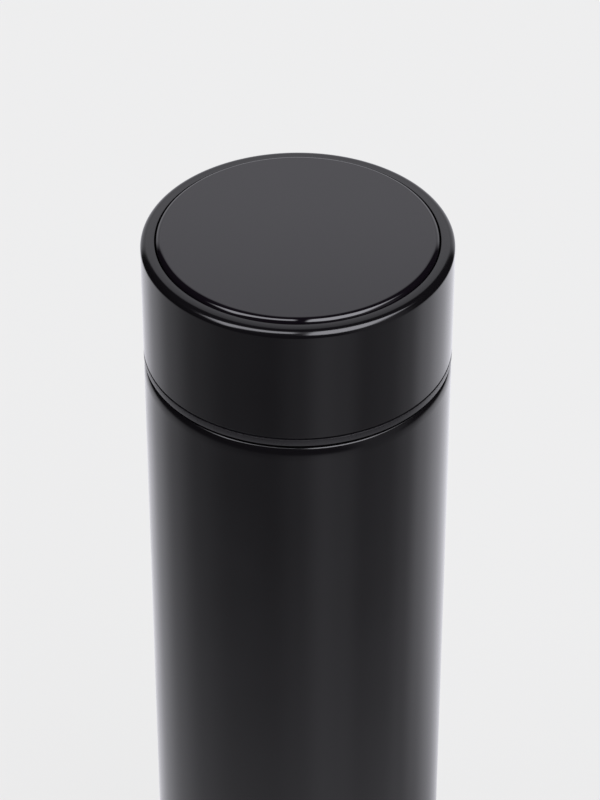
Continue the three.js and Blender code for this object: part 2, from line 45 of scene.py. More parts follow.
def rounded(corners, steps=8):
    """Points of a closed profile of (radius, height, corner radius) in mm, with each corner as an arc."""
    points = []
    count = len(corners)
    for i, (r, z, fillet) in enumerate(corners):
        if fillet <= 0:
            points.append((r, z))
            continue
        before, after = corners[i - 1], corners[(i + 1) % count]
        a = math.atan2(before[1] - z, before[0] - r)
        b = math.atan2(after[1] - z, after[0] - r)
        turn = (b - a + math.pi) % (2 * math.pi) - math.pi
        reach = fillet / math.tan(abs(turn) / 2)
        middle = a + turn / 2
        centre_r = r + fillet / math.sin(abs(turn) / 2) * math.cos(middle)
        centre_z = z + fillet / math.sin(abs(turn) / 2) * math.sin(middle)
        first = math.atan2(z + reach * math.sin(a) - centre_z, r + reach * math.cos(a) - centre_r)
        sweep = -math.copysign(math.pi - abs(turn), turn)
        for k in range(steps + 1):
            angle = first + sweep * k / steps
            points.append((centre_r + fillet * math.cos(angle), centre_z + fillet * math.sin(angle)))
    return points


# Blender works in metres, and the sizes of the pieces are given in millimetres.
MM = 0.001
# A straight stretch longer than LONG gets a row HOLD from each end, in mm, so that its shading stays flat
# between its rounded corners.
LONG, HOLD = 2.0, 0.2
SHARP = math.radians(40)


def turned(name, profile, segments=256, shift=None):
    """A piece turned about the Z axis from a closed profile in mm. shift moves its surface out or in."""
    held = []
    for start, end in zip(profile, profile[1:] + profile[:1]):
        held.append(start)
        length = math.dist(start, end)
        if length > LONG:
            for along in (HOLD / length, 1 - HOLD / length):
                held.append(tuple(s + (e - s) * along for s, e in zip(start, end)))
    verts, faces, rows = [], [], []
    for r, z in held:
        if r < 1e-6:
            rows.append([len(verts)] * segments)
            verts.append((0, 0, z * MM))
            continue
        rows.append(list(range(len(verts), len(verts) + segments)))
        for k in range(segments):
            angle = 2 * math.pi * k / segments
            radius = (r + (shift(r, z, angle) if shift else 0)) * MM
            verts.append((radius * math.cos(angle), radius * math.sin(angle), z * MM))
    for lower, upper in zip(rows, rows[1:] + rows[:1]):
        if len(set(lower)) == 1 and len(set(upper)) == 1:
            continue
        for k in range(segments):
            corner = [lower[k], lower[(k + 1) % segments], upper[(k + 1) % segments], upper[k]]
            faces.append(list(dict.fromkeys(corner)))
    mesh = bpy.data.meshes.new(name)
    mesh.from_pydata(verts, [], faces)
    mesh.validate()
    mesh.polygons.foreach_set("use_smooth", [True] * len(mesh.polygons))
    mesh.set_sharp_from_angle(angle=SHARP)
    piece = bpy.data.objects.new(name, mesh)
    bpy.context.scene.collection.objects.link(piece)
    return piece


def linear(hex_colour):
    """An sRGB hex colour as a linear RGBA value."""
    channels = [int(hex_colour[i:i + 2], 16) / 255 for i in (1, 3, 5)]
    return [c / 12.92 if c <= 0.04045 else ((c + 0.055) / 1.055) ** 2.4 for c in channels] + [1.0]


def add(tree, kind, inputs=None, **settings):
    """Adds a node, sets its properties, and sets or links its inputs."""
    made = tree.nodes.new(kind)
    for key, value in settings.items():
        setattr(made, key, value)
    for key, value in (inputs or {}).items():
        if isinstance(value, bpy.types.NodeSocket):
            tree.links.new(value, made.inputs[key])
        else:
            made.inputs[key].default_value = value
    return made


def material(name, shader):
    """A material with a Principled shader whose plain values are set on its own sockets.

    Returns the material, its tree, the shader and the object's own coordinates."""
    made = bpy.data.materials.new(name)
    made.use_nodes = True
    tree = made.node_tree
    tree.nodes.clear()
    surface = add(tree, "ShaderNodeBsdfPrincipled", shader)
    output = add(tree, "ShaderNodeOutputMaterial")
    tree.links.new(surface.outputs["BSDF"], output.inputs["Surface"])
    place = add(tree, "ShaderNodeTexCoord").outputs["Object"]
    return made, tree, surface, place


def vary(tree, surface, pattern, tones, roughness, gloss_by=None, span=(0.3, 0.7)):
    """Lets a pattern change a material's colour between two tones, and its roughness between two values.

    gloss_by is a pattern of its own for the roughness, and span is the part of it that is followed."""
    tint = add(tree, "ShaderNodeMix", {
        "Factor": pattern, "A": linear(tones[0]), "B": linear(tones[1]),
    }, data_type="RGBA")
    tree.links.new(tint.outputs["Result"], surface.inputs["Base Color"])
    gloss = add(tree, "ShaderNodeMapRange", {
        "Value": pattern if gloss_by is None else gloss_by,
        "From Min": span[0],
        "From Max": span[1],
        "To Min": roughness[0],
        "To Max": roughness[1],
    })
    tree.links.new(gloss.outputs["Result"], surface.inputs["Roughness"])


def across(width):
    """The scale of a pattern whose marks are this many millimetres wide."""
    return 1 / (width * MM)


# Sprayed satin enamel on steel: a slightly rippled skin, so reflections are soft but not broken up.
satin_paint, tree, surface, place = material("sprayed_satin_enamel", {"IOR": 1.46})
# Orange peel of sprayed paint is about 0.4 mm across.
peel = add(tree, "ShaderNodeTexNoise", {"Vector": place, "Scale": across(0.4), "Detail": 2.0})
# Gloss drifts over a few centimetres, as the spray passes overlap.
drift = add(tree, "ShaderNodeTexNoise", {"Vector": place, "Scale": across(25), "Detail": 2.0})
vary(tree, surface, drift.outputs["Fac"], ("#080708", "#0b0a0c"), (0.11, 0.15))
ripple = add(tree, "ShaderNodeBump", {
    "Height": peel.outputs["Fac"], "Strength": 0.05, "Distance": 0.02 * MM,
})
tree.links.new(ripple.outputs["Normal"], surface.inputs["Normal"])

BODY_R, SHEET = 33.0, 0.5
# The edge of the shoulder is a quarter of an ellipse, and the shoulder ends at the neck.
SHOULDER_Z, SHOULDER_IN, SHOULDER_DOWN, SHOULDER_HOLE_R = 198.95, 0.65, 3.0, 24.9
# The lower edge turns in on this radius as far as the curl, above the foot ring.
FOOT_TOP, CURL_R, CURL_FILLET = 1.2, 29.9, 2.2
EDGE_STEPS = 16
shoulder_edge = [
    (BODY_R - SHOULDER_IN * (1 - math.cos(a)), SHOULDER_Z - SHOULDER_DOWN * (1 - math.sin(a)), 0)
    for a in (math.pi / 2 * k / EDGE_STEPS for k in range(EDGE_STEPS + 1))
]
outer_shell = turned("flask_outer_wall", rounded([
    (CURL_R, FOOT_TOP, 0.1),
    (BODY_R, FOOT_TOP, CURL_FILLET),
    *shoulder_edge,
    (SHOULDER_HOLE_R, SHOULDER_Z, 0.15),
    (SHOULDER_HOLE_R, SHOULDER_Z - SHEET, 0.15),
    (BODY_R - SHOULDER_IN, SHOULDER_Z - SHEET, 0),
    (BODY_R - SHEET, SHOULDER_Z - SHOULDER_DOWN, 0),
    (BODY_R - SHEET, FOOT_TOP + SHEET, 1.6),
    (CURL_R, FOOT_TOP + SHEET, 0.1),
], steps=10))
outer_shell.data.materials.append(satin_paint)
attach(outer_shell, "flask")
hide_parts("outer_shell")


# ---------------------------------------------------------------------------
# Lid shell. A drawn stainless cup with the same paint: straight skirt, rounded rim, narrow flat lip
# and a short turned-down edge round the opening that the touch lens sits in.

# The lip slopes down to the rim by LIP_FALL, and its inner edge is turned down by LIP_TURN.
LID_TOP, LID_BOTTOM, LIP_FALL, LIP_TURN = 229.2, 201.95, 0.09, 2.2
OPENING_R, RIM_FILLET = 30.0, 1.5
lid_shell = turned("lid_steel_shell", rounded([
    (BODY_R, LID_BOTTOM, 0.04),
    (BODY_R, LID_TOP - LIP_FALL, RIM_FILLET),
    (OPENING_R, LID_TOP, 0.12),
    (OPENING_R, LID_TOP - LIP_TURN, 0.1),
    (OPENING_R + SHEET, LID_TOP - LIP_TURN, 0.1),
    (OPENING_R + SHEET, LID_TOP - SHEET, 0),
    (BODY_R - SHEET, LID_TOP - LIP_FALL - SHEET, 1.1),
    (BODY_R - SHEET, LID_BOTTOM, 0.15),
], steps=12))
lid_shell.data.materials.append(satin_paint)
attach(lid_shell, "lid")
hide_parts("lid_shell")


# ---------------------------------------------------------------------------
# Touch lens. A polished acrylic disc, printed black behind, that stands a little proud of the rim on
# a rounded edge. Taped down from behind, so no fixing shows.

# Polished acrylic over black print: a mirror-like black with the sharpest reflections of the whole flask.
lens_acrylic, tree, surface, place = material("polished_acrylic_over_black_print", {"IOR": 1.49})
# Wiping leaves a very faint change of gloss, a centimetre or so across.
wiped = add(tree, "ShaderNodeTexNoise", {"Vector": place, "Scale": across(11), "Detail": 3.0})
vary(tree, surface, wiped.outputs["Fac"], ("#070508", "#0b080c"), (0.035, 0.06))

LENS_R, LENS_TOP, LENS_BACK, LENS_FILLET = 29.76, 230.0, 228.2, 1.15
touch_lens = turned("touch_lens_disc", rounded([
    (0, LENS_BACK, 0),
    (LENS_R, LENS_BACK, 0.2),
    (LENS_R, LENS_TOP, LENS_FILLET),
    (0, LENS_TOP, 0),
], steps=14))
touch_lens.data.materials.append(lens_acrylic)
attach(touch_lens, "lid")
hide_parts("touch_lens")


# ---------------------------------------------------------------------------
# Lid liner. One polypropylene moulding pressed into the shell: the collar band that shows under the
# skirt, the wall with the two-start female thread, the deck, and the hollow plug with the seal's groove.

# Moulded polypropylene: a dull black with a fine even grain, a little lighter than the paint beside it.
liner_plastic, tree, surface, place = material("moulded_black_polypropylene", {"IOR": 1.49})
# Spark-eroded mould texture is about 0.1 mm; drawn at 0.3 mm so that it shows.
grain = add(tree, "ShaderNodeTexNoise", {"Vector": place, "Scale": across(0.3), "Detail": 3.0})
vary(tree, surface, grain.outputs["Fac"], ("#100f11", "#161517"), (0.26, 0.34))
ripple = add(tree, "ShaderNodeBump", {
    "Height": grain.outputs["Fac"], "Strength": 0.1, "Distance": 0.02 * MM,
})
tree.links.new(ripple.outputs["Normal"], surface.inputs["Normal"])

THREAD_LEAD, THREAD_STARTS = 8.0, 2
# A bead runs out over a twelfth of a turn, and blends into the wall over a quarter of its half width.
RUN_OUTS_A_TURN, BLENDS_A_HALF = 12, 4


def thread_rise(z, angle, start_z, start_turn, turns, half_width):
    """How far a thread's beads stand at this height and angle, from 0 to 1, running out at both ends."""
    best = 0.0
    for start in range(THREAD_STARTS):
        for whole in (-1, 0, 1):
            along = angle / (2 * math.pi) - start_turn - start / THREAD_STARTS + whole
            if not 0 <= along <= turns:
                continue
            off = abs(z - start_z - along * THREAD_LEAD) / half_width
            fade = min(1.0, min(along, turns - along) * RUN_OUTS_A_TURN)
            if off < 1:
                blend = min(1.0, (1 - off) * BLENDS_A_HALF)
                best = max(best, math.sqrt(1 - off * off) * fade * blend)
    return best


def rows_between(low, high, step):
    """Heights from low to high, both included."""
    count = max(1, round((high - low) / step))
    return [low + (high - low) * i / count for i in range(count + 1)]


COLLAR_BOTTOM, COLLAR_TOP = 199.95, 201.45
# The mouth of the bore is chamfered, so that the lid finds the neck.
CHAMFER_WIDTH, CHAMFER_HEIGHT = 0.8, 0.9
BORE_R, LINER_WALL_R, WIRE_HOLE_R, DECK_Z, DECK_TOP = 26.2, 28.0, 3.6, 214.6, 215.8
PLUG_R, PLUG_WALL, PLUG_LIP_R, PLUG_BOTTOM = 22.0, 1.0, 22.9, 206.0
# The seal sits in its groove with this much room above and below, under a lip of LIP_HEIGHT.
SEAL_BOTTOM, SEAL_TOP, SEAL_ROOM, LIP_HEIGHT = 207.4, 210.4, 0.3, 0.8
# Rows this close together draw the beads of the thread smoothly.
THREAD_ROW, BORE_ROWS_FROM, LINER_BEAD_RISE = 0.2, 201.2, 1.1
bore_rows = [(BORE_R, z) for z in rows_between(BORE_ROWS_FROM, DECK_Z, THREAD_ROW)]
liner_outline = rounded([
    (WIRE_HOLE_R, DECK_Z, 0),
    (PLUG_R - PLUG_WALL, DECK_Z, 0.3),
    (PLUG_R - PLUG_WALL, PLUG_BOTTOM, 0.1),
    (PLUG_LIP_R, PLUG_BOTTOM, 0.2),
    (PLUG_LIP_R, SEAL_BOTTOM - SEAL_ROOM, 0.2),
    (PLUG_R, SEAL_BOTTOM - SEAL_ROOM, 0.1),
    (PLUG_R, SEAL_TOP + SEAL_ROOM, 0.1),
    (PLUG_LIP_R, SEAL_TOP + SEAL_ROOM, 0.2),
    (PLUG_LIP_R, SEAL_TOP + SEAL_ROOM + LIP_HEIGHT, 0.2),
    (PLUG_R, DECK_Z, 0),
], steps=4) + bore_rows[::-1] + rounded([
    (BORE_R, COLLAR_BOTTOM + CHAMFER_HEIGHT, 0),
    (BORE_R + CHAMFER_WIDTH, COLLAR_BOTTOM, 0.4),
    (BODY_R, COLLAR_BOTTOM, 0.08),
    (BODY_R, COLLAR_TOP, 0.03),
    (LINER_WALL_R, COLLAR_TOP, 0.2),
    (LINER_WALL_R, DECK_TOP, 0.5),
    (WIRE_HOLE_R, DECK_TOP, 0),
], steps=6)


def liner_bead(r, z, angle):
    """Moves the bore inward along the beads of the female thread."""
    if abs(r - BORE_R) > 0.01:
        return 0.0
    rise = thread_rise(z, angle, start_z=206.0, start_turn=0.15, turns=0.5, half_width=0.85)
    return -LINER_BEAD_RISE * rise


liner = turned("lid_liner_moulding", liner_outline, shift=liner_bead)
liner.data.materials.append(liner_plastic)
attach(liner, "lid")
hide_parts("lid_liner")


# ---------------------------------------------------------------------------
# Inner vessel. Drawn and electropolished stainless bottle. Its neck stands above the shoulder, with a
# rolled two-start thread that shows as beads outside and as matching grooves inside the mouth.

def round_the_axis(tree, place):
    """Coordinates that are the same all the way round the Z axis, so that marks become rings."""
    split = add(tree, "ShaderNodeSeparateXYZ", {"Vector": place})
    flat = add(tree, "ShaderNodeCombineXYZ", {"X": split.outputs["X"], "Y": split.outputs["Y"]})
    radius = add(tree, "ShaderNodeVectorMath", {"Vector": flat.outputs["Vector"]}, operation="LENGTH")
    rings_at = add(tree, "ShaderNodeCombineXYZ", {"X": radius.outputs["Value"], "Z": split.outputs["Z"]})
    return rings_at.outputs["Vector"]


# Electropolished steel: a soft bright metal whose highlight is drawn out across faint rings.
drawn_steel, tree, surface, place = material("electropolished_drawn_steel", {"Metallic": 1.0})
# Fine lines run round the wall, left by spinning; about 0.1 mm apart, drawn at 0.25 mm so that they show.
spun = add(tree, "ShaderNodeTexNoise", {
    "Vector": round_the_axis(tree, place), "Scale": across(0.25), "Detail": 2.0,
})
# The polish clouds a little over a couple of centimetres.
cloud = add(tree, "ShaderNodeTexNoise", {"Vector": place, "Scale": across(17), "Detail": 3.0})
vary(
    tree, surface, cloud.outputs["Fac"], ("#bfc0c1", "#cfd0d0"), (0.22, 0.38), gloss_by=spun.outputs["Fac"]
)
ripple = add(tree, "ShaderNodeBump", {
    "Height": spun.outputs["Fac"], "Strength": 0.15, "Distance": 0.01 * MM,
})
tree.links.new(ripple.outputs["Normal"], surface.inputs["Normal"])

NECK_R, NECK_ROWS_FROM, NECK_ROWS_TO, MOUTH_Z = 24.6, 200.0, 212.8, 213.5
VESSEL_R, VESSEL_Z, VESSEL_CORNER = 29.4, 12.0, 6.0
SHOULDER_START, CONVEX_R, CONCAVE_R = 184.0, 8.0, 6.0
BEND_STEPS, LIP_STEPS, NECK_BEAD_RISE = 10, 8, 1.0


def vessel_side(inset, rows):
    """The vessel's profile from the axis at the bottom to near the lip, drawn inward by inset."""
    out_centre, in_centre = VESSEL_R - CONVEX_R, NECK_R + CONCAVE_R
    bend = math.acos((in_centre - out_centre) / (CONVEX_R + CONCAVE_R))
    neck_start = SHOULDER_START + (CONVEX_R + CONCAVE_R) * math.sin(bend)
    side = [(0.0, VESSEL_Z + inset)]
    for centre_r, centre_z, radius, low, high in (
        (VESSEL_R - VESSEL_CORNER, VESSEL_Z + VESSEL_CORNER, VESSEL_CORNER - inset, -math.pi / 2, 0),
        (out_centre, SHOULDER_START, CONVEX_R - inset, 0, bend),
        (in_centre, neck_start, CONCAVE_R + inset, math.pi + bend, math.pi),
    ):
        for k in range(BEND_STEPS + 1):
            angle = low + (high - low) * k / BEND_STEPS
            side.append((centre_r + radius * math.cos(angle), centre_z + radius * math.sin(angle)))
    return side + [(NECK_R - inset, z) for z in rows]


neck_rows = rows_between(NECK_ROWS_FROM, NECK_ROWS_TO, THREAD_ROW)
outside = vessel_side(0.0, neck_rows)
inside = vessel_side(SHEET, neck_rows)
lip = [
    (NECK_R - SHEET / 2 + SHEET / 2 * math.cos(a), MOUTH_Z - SHEET / 2 + SHEET / 2 * math.sin(a))
    for a in (math.pi * k / LIP_STEPS for k in range(LIP_STEPS + 1))
]


def neck_bead(r, z, angle):
    """Moves both faces of the neck outward along the beads of the rolled thread."""
    if z < NECK_ROWS_FROM - 0.1 or r > NECK_R + 0.01:
        return 0.0
    rise = thread_rise(z, angle, start_z=202.8, start_turn=0.0, turns=0.8, half_width=1.1)
    return NECK_BEAD_RISE * rise


vessel = turned("inner_vessel_bottle", outside + lip + inside[::-1], shift=neck_bead)
vessel.data.materials.append(drawn_steel)
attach(vessel, "flask")
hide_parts("inner_vessel")


# ---------------------------------------------------------------------------
# Base cover. A stamped stainless cup that hides the vacuum base. Its underside is turned to a satin
# finish, and it is pressed up inside the curled edge of the outer wall.

# Turned steel with a satin finish: fine rings round the middle that spread the light into a soft fan.
base_steel, tree, surface, place = material("satin_turned_steel", {"Metallic": 1.0})
# Rings left by the turning tool are about 0.3 mm apart.
rings = add(tree, "ShaderNodeTexNoise", {
    "Vector": round_the_axis(tree, place), "Scale": across(0.3), "Detail": 3.0,
})
vary(tree, surface, rings.outputs["Fac"], ("#adaeb0", "#c6c7c9"), (0.28, 0.42))
ripple = add(tree, "ShaderNodeBump", {
    "Height": rings.outputs["Fac"], "Strength": 0.3, "Distance": 0.02 * MM,
})
tree.links.new(ripple.outputs["Normal"], surface.inputs["Normal"])

COVER_R, COVER_FLOOR, COVER_RIM = 29.6, 1.5, 5.1
# A pressed bead just inside the foot ring stiffens the cover.
STIFFENER_R, STIFFENER_HALF, STIFFENER_RISE = 17.6, 0.4, 0.35
base_cover = turned("base_cover_cup", rounded([
    (0, COVER_FLOOR, 0),
    (STIFFENER_R - STIFFENER_HALF, COVER_FLOOR, 0.5),
    (STIFFENER_R, COVER_FLOOR + STIFFENER_RISE, 0.4),
    (STIFFENER_R + STIFFENER_HALF, COVER_FLOOR, 0.5),
    (COVER_R, COVER_FLOOR, 1.0),
    (COVER_R, COVER_RIM, 0.1),
    (COVER_R - SHEET, COVER_RIM, 0.1),
    (COVER_R - SHEET, COVER_FLOOR + SHEET, 0.5),
    (0, COVER_FLOOR + SHEET, 0),
], steps=6))
base_cover.data.materials.append(base_steel)
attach(base_cover, "flask")
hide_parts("base_cover")


# ---------------------------------------------------------------------------
# Foot ring. A moulded silicone ring glued under the base cover, so that the flask stands quietly. Three
# fine grooves round its underside grip the table.

# Moulded black silicone: matt and slightly grey, with almost no highlight.
foot_silicone, tree, surface, place = material("matt_black_silicone", {"IOR": 1.41})
# The dusty bloom on silicone lies in patches of about a millimetre.
bloom = add(tree, "ShaderNodeTexNoise", {"Vector": place, "Scale": across(1.1), "Detail": 4.0})
vary(tree, surface, bloom.outputs["Fac"], ("#1a191b", "#262528"), (0.62, 0.78))
ripple = add(tree, "ShaderNodeBump", {
    "Height": bloom.outputs["Fac"], "Strength": 0.2, "Distance": 0.03 * MM,
})
tree.links.new(ripple.outputs["Normal"], surface.inputs["Normal"])

FOOT_IN_R, FOOT_OUT_R, FOOT_FILLET = 18.4, 26.6, 0.35
GROOVES, GROOVE_DEPTH, GROOVE_HALF, GROOVE_FLOOR_HALF = (20.6, 22.5, 24.4), 0.3, 0.35, 0.25
foot_corners = [(FOOT_IN_R, 0.0, FOOT_FILLET)]
for groove_r in GROOVES:
    foot_corners += [
        (groove_r - GROOVE_HALF, 0.0, 0.1),
        (groove_r - GROOVE_FLOOR_HALF, GROOVE_DEPTH, 0.1),
        (groove_r + GROOVE_FLOOR_HALF, GROOVE_DEPTH, 0.1),
        (groove_r + GROOVE_HALF, 0.0, 0.1),
    ]
foot_corners += [(FOOT_OUT_R, 0.0, FOOT_FILLET), (FOOT_OUT_R, FOOT_TOP, 0.1), (FOOT_IN_R, FOOT_TOP, 0.1)]
foot_ring = turned("foot_ring_silicone", rounded(foot_corners, steps=4), segments=192)
foot_ring.data.materials.append(foot_silicone)
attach(foot_ring, "flask")
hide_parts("foot_ring")


# ---------------------------------------------------------------------------
# Lid seal and probe gasket. Moulded translucent silicone; the seal has two soft lips that press on the
# neck's bore, and the gasket is a plain ring squeezed under the probe's flange.

# Translucent silicone: milky white, with light that sinks in about 2 mm and softens its edges.
seal_silicone, tree, surface, place = material("translucent_moulded_silicone", {
    "IOR": 1.41, "Subsurface Weight": 0.35, "Subsurface Radius": (2 * MM,) * 3, "Subsurface Scale": 1.0,
})
# Its bloom lies in patches a little over a millimetre wide.
bloom = add(tree, "ShaderNodeTexNoise", {"Vector": place, "Scale": across(1.4), "Detail": 3.0})
vary(tree, surface, bloom.outputs["Fac"], ("#d2d2ce", "#e0e0dc"), (0.42, 0.58))

SEAL_IN, SEAL_ROOT, SEAL_OUT = 22.3, 23.1, 23.7
# Each lip starts LIP_TAPER from the end of the ring, and the two lips mirror each other.
LIP_TAPER, LIP_THICK, VALLEY_HALF = 0.5, 0.4, 0.2
seal_middle = (SEAL_BOTTOM + SEAL_TOP) / 2
lid_seal = turned("lid_seal_ring", rounded([
    (SEAL_IN, SEAL_BOTTOM, 0.15),
    (SEAL_ROOT, SEAL_BOTTOM, 0.2),
    (SEAL_OUT, SEAL_BOTTOM + LIP_TAPER, 0.15),
    (SEAL_OUT, SEAL_BOTTOM + LIP_TAPER + LIP_THICK, 0.15),
    (SEAL_ROOT, seal_middle - VALLEY_HALF, 0.1),
    (SEAL_ROOT, seal_middle + VALLEY_HALF, 0.1),
    (SEAL_OUT, SEAL_TOP - LIP_TAPER - LIP_THICK, 0.15),
    (SEAL_OUT, SEAL_TOP - LIP_TAPER, 0.15),
    (SEAL_ROOT, SEAL_TOP, 0.2),
    (SEAL_IN, SEAL_TOP, 0.15),
], steps=4), segments=192)
lid_seal.data.materials.append(seal_silicone)
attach(lid_seal, "lid_seal")
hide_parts("lid_seal")

GASKET_IN, GASKET_OUT, GASKET_BOTTOM, GASKET_TOP, GASKET_FILLET = 2.7, 4.1, 205.9, 206.9, 0.3
probe_gasket = turned("probe_gasket_ring", rounded([
    (GASKET_IN, GASKET_BOTTOM, GASKET_FILLET),
    (GASKET_OUT, GASKET_BOTTOM, GASKET_FILLET),
    (GASKET_OUT, GASKET_TOP, GASKET_FILLET),
    (GASKET_IN, GASKET_TOP, GASKET_FILLET),
], steps=5), segments=64)
probe_gasket.data.materials.append(seal_silicone)
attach(probe_gasket, "lid")
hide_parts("probe_gasket")


# ---------------------------------------------------------------------------
# Plug plate and probe. A spun stainless cup closes the plug, and a thin closed tube through its middle
# holds the thermistor down in the drink. Both are finished bright, with faint rings.

# Spun bright steel: brighter and smoother than the bottle, with its rings only just visible.
plate_steel, tree, surface, place = material("spun_bright_steel", {"Metallic": 1.0})
# Spinning marks are about 0.2 mm apart.
rings = add(tree, "ShaderNodeTexNoise", {
    "Vector": round_the_axis(tree, place), "Scale": across(0.2), "Detail": 2.0,
})
vary(tree, surface, rings.outputs["Fac"], ("#bcbdbf", "#cdced0"), (0.18, 0.32))
ripple = add(tree, "ShaderNodeBump", {
    "Height": rings.outputs["Fac"], "Strength": 0.2, "Distance": 0.01 * MM,
})
tree.links.new(ripple.outputs["Normal"], surface.inputs["Normal"])

PLATE_Z, PLATE_R, PLATE_RIM_R, PLATE_RIM_TOP, PLATE_HOLE_R = 205.0, 22.6, 20.7, 209.0, 2.7
# The floor is set in by PANEL_RISE between two radii, over a slope PANEL_SLOPE wide.
PANEL_IN_R, PANEL_OUT_R, PANEL_SLOPE, PANEL_RISE = 7.0, 19.2, 0.6, 0.25
plug_plate = turned("plug_plate_cup", rounded([
    (PLATE_HOLE_R, PLATE_Z, 0.1),
    (PANEL_IN_R, PLATE_Z, 0.5),
    (PANEL_IN_R + PANEL_SLOPE, PLATE_Z + PANEL_RISE, 0.5),
    (PANEL_OUT_R - PANEL_SLOPE, PLATE_Z + PANEL_RISE, 0.5),
    (PANEL_OUT_R, PLATE_Z, 0.5),
    (PLATE_R, PLATE_Z, 0.25),
    (PLATE_R, PLATE_Z + SHEET, 0.2),
    (PLATE_RIM_R, PLATE_Z + SHEET, 0.1),
    (PLATE_RIM_R, PLATE_RIM_TOP, 0.1),
    (PLATE_RIM_R - SHEET, PLATE_RIM_TOP, 0.1),
    (PLATE_RIM_R - SHEET, PLATE_Z + SHEET, 0.3),
    (PLATE_HOLE_R, PLATE_Z + SHEET, 0.1),
], steps=6), segments=192)
PROBE_R, PROBE_TIP, PROBE_WALL = 2.4, 199.0, 0.4
FLANGE_R, FLANGE_BOTTOM, FLANGE_TOP = 4.2, 207.2, 207.8
probe = turned("sensor_probe_tube", rounded([
    (0, PROBE_TIP, 0),
    (PROBE_R, PROBE_TIP, 1.2),
    (PROBE_R, FLANGE_BOTTOM, 0.1),
    (FLANGE_R, FLANGE_BOTTOM, 0.1),
    (FLANGE_R, FLANGE_TOP, 0.1),
    (PROBE_R - PROBE_WALL, FLANGE_TOP, 0.1),
    (PROBE_R - PROBE_WALL, PROBE_TIP + PROBE_WALL, 0.8),
    (0, PROBE_TIP + PROBE_WALL, 0),
], steps=8), segments=64)
for piece, node in ((plug_plate, "plug_plate"), (probe, "sensor_probe")):
    piece.data.materials.append(plate_steel)
    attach(piece, "lid")
    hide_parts(node)


# ---------------------------------------------------------------------------
# Electronics tray, tape and display. The tray is the same kind of black moulding as the liner. The tape
# is die-cut foam tape, and the display is a block of light-emitting segments behind a smoked face.

# Die-cut foam tape: dead matt, with open cells of about a third of a millimetre, each painted darker
# towards its middle as painted shade in the cell's hollow.
tape_film, tree, surface, place = material("black_foam_tape", {"IOR": 1.45})
cells = add(tree, "ShaderNodeTexVoronoi", {"Vector": place, "Scale": across(0.33)})
# Painted shade: each cell's colour darkens towards its middle, standing in for the shade inside the open
# cell.
vary(tree, surface, cells.outputs["Distance"], ("#1a1a1c", "#29292c"), (0.75, 0.9))

# Smoked epoxy face: a dark, half-gloss block with a slight haze in marks under a millimetre wide.
display_case, tree, surface, place = material("smoked_display_face", {"IOR": 1.5})
haze = add(tree, "ShaderNodeTexNoise", {"Vector": place, "Scale": across(0.8), "Detail": 2.0})
vary(tree, surface, haze.outputs["Fac"], ("#141416", "#1d1d20"), (0.2, 0.32))


def dress(node, look):
    """Gives a piece that keeps its CAD shape the look of the real one."""
    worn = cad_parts[node].data.materials
    worn.clear()
    worn.append(look)


dress("lens_tape", tape_film)
dress("display_housing", liner_plastic)
dress("display_module", display_case)


# ---------------------------------------------------------------------------
# Circuit board. A round of glass-fibre laminate under a screened green solder mask, with the weave of
# the cloth showing faintly through. Three small screws hold it in the tray.

# Screened solder mask: a smooth green lacquer, darker in the dips of the cloth.
board_mask, tree, surface, place = material("green_solder_mask", {"IOR": 1.5})
# The glass cloth's threads are about 0.5 mm apart; drawn 1 mm apart so that they show. At a scale of 1 a
# wave runs through WAVE_RADIANS in a metre.
WAVE_RADIANS = 20
thread_scale = across(1) * 2 * math.pi / WAVE_RADIANS
warp = add(tree, "ShaderNodeTexWave", {"Vector": place, "Scale": thread_scale}, bands_direction="X")
weft = add(tree, "ShaderNodeTexWave", {"Vector": place, "Scale": thread_scale}, bands_direction="Y")
weave = add(tree, "ShaderNodeMath", {0: warp.outputs["Fac"], 1: weft.outputs["Fac"]}, operation="MULTIPLY")
vary(tree, surface, weave.outputs["Value"], ("#154a2b", "#1f6238"), (0.35, 0.5), span=(0.0, 1.0))
dress("circuit_board", board_mask)


# ---------------------------------------------------------------------------
# Small plated parts. The touch spring is wound wire, the coin cell a crimped can held by a bent strap,
# and the six screws are cold-headed. All are bright nickel over steel.

# Bright nickel plate: a warm silver shine, broken by scuffs of about two thirds of a millimetre.
bright_nickel, tree, surface, place = material("bright_nickel_plate", {"Metallic": 1.0})
scuffs = add(tree, "ShaderNodeTexNoise", {"Vector": place, "Scale": across(0.65), "Detail": 4.0})
vary(tree, surface, scuffs.outputs["Fac"], ("#b9b8b4", "#cfcecb"), (0.15, 0.35))
dress("touch_spring", bright_nickel)
dress("battery_cell", bright_nickel)
dress("battery_clip", bright_nickel)
for i in (1, 2, 3):
    dress(f"board_screw_{i}", bright_nickel)
    dress(f"housing_screw_{i}", bright_nickel)


# ---------------------------------------------------------------------------
# Sensor, leads and insulation. The thermistor is a bead dipped in black epoxy at the bottom of the
# probe, its two leads run up in one red silicone sleeve, and a cut puck of foam fills the plug round it.

# Dipped epoxy: a small dark drop with a soft shine and filler grains of about half a millimetre.
epoxy_bead, tree, surface, place = material("black_epoxy_bead", {"IOR": 1.55})
mottle = add(tree, "ShaderNodeTexNoise", {"Vector": place, "Scale": across(0.5), "Detail": 2.0})
vary(tree, surface, mottle.outputs["Fac"], ("#1c1c1c", "#2c2c2c"), (0.3, 0.5))

# Extruded silicone sleeve: a strong red with a dull skin, mottled in marks of about 0.65 mm.
red_sleeve, tree, surface, place = material("red_silicone_sleeve", {"IOR": 1.41})
mottle = add(tree, "ShaderNodeTexNoise", {"Vector": place, "Scale": across(0.65), "Detail": 2.0})
vary(tree, surface, mottle.outputs["Fac"], ("#a01f18", "#b82a20"), (0.45, 0.6))

# Cut open-cell foam: cream white and chalky, with pits wherever a cell is cut open, and painted shade in
# each pit.
foam, tree, surface, place = material("open_cell_foam", {"IOR": 1.4})
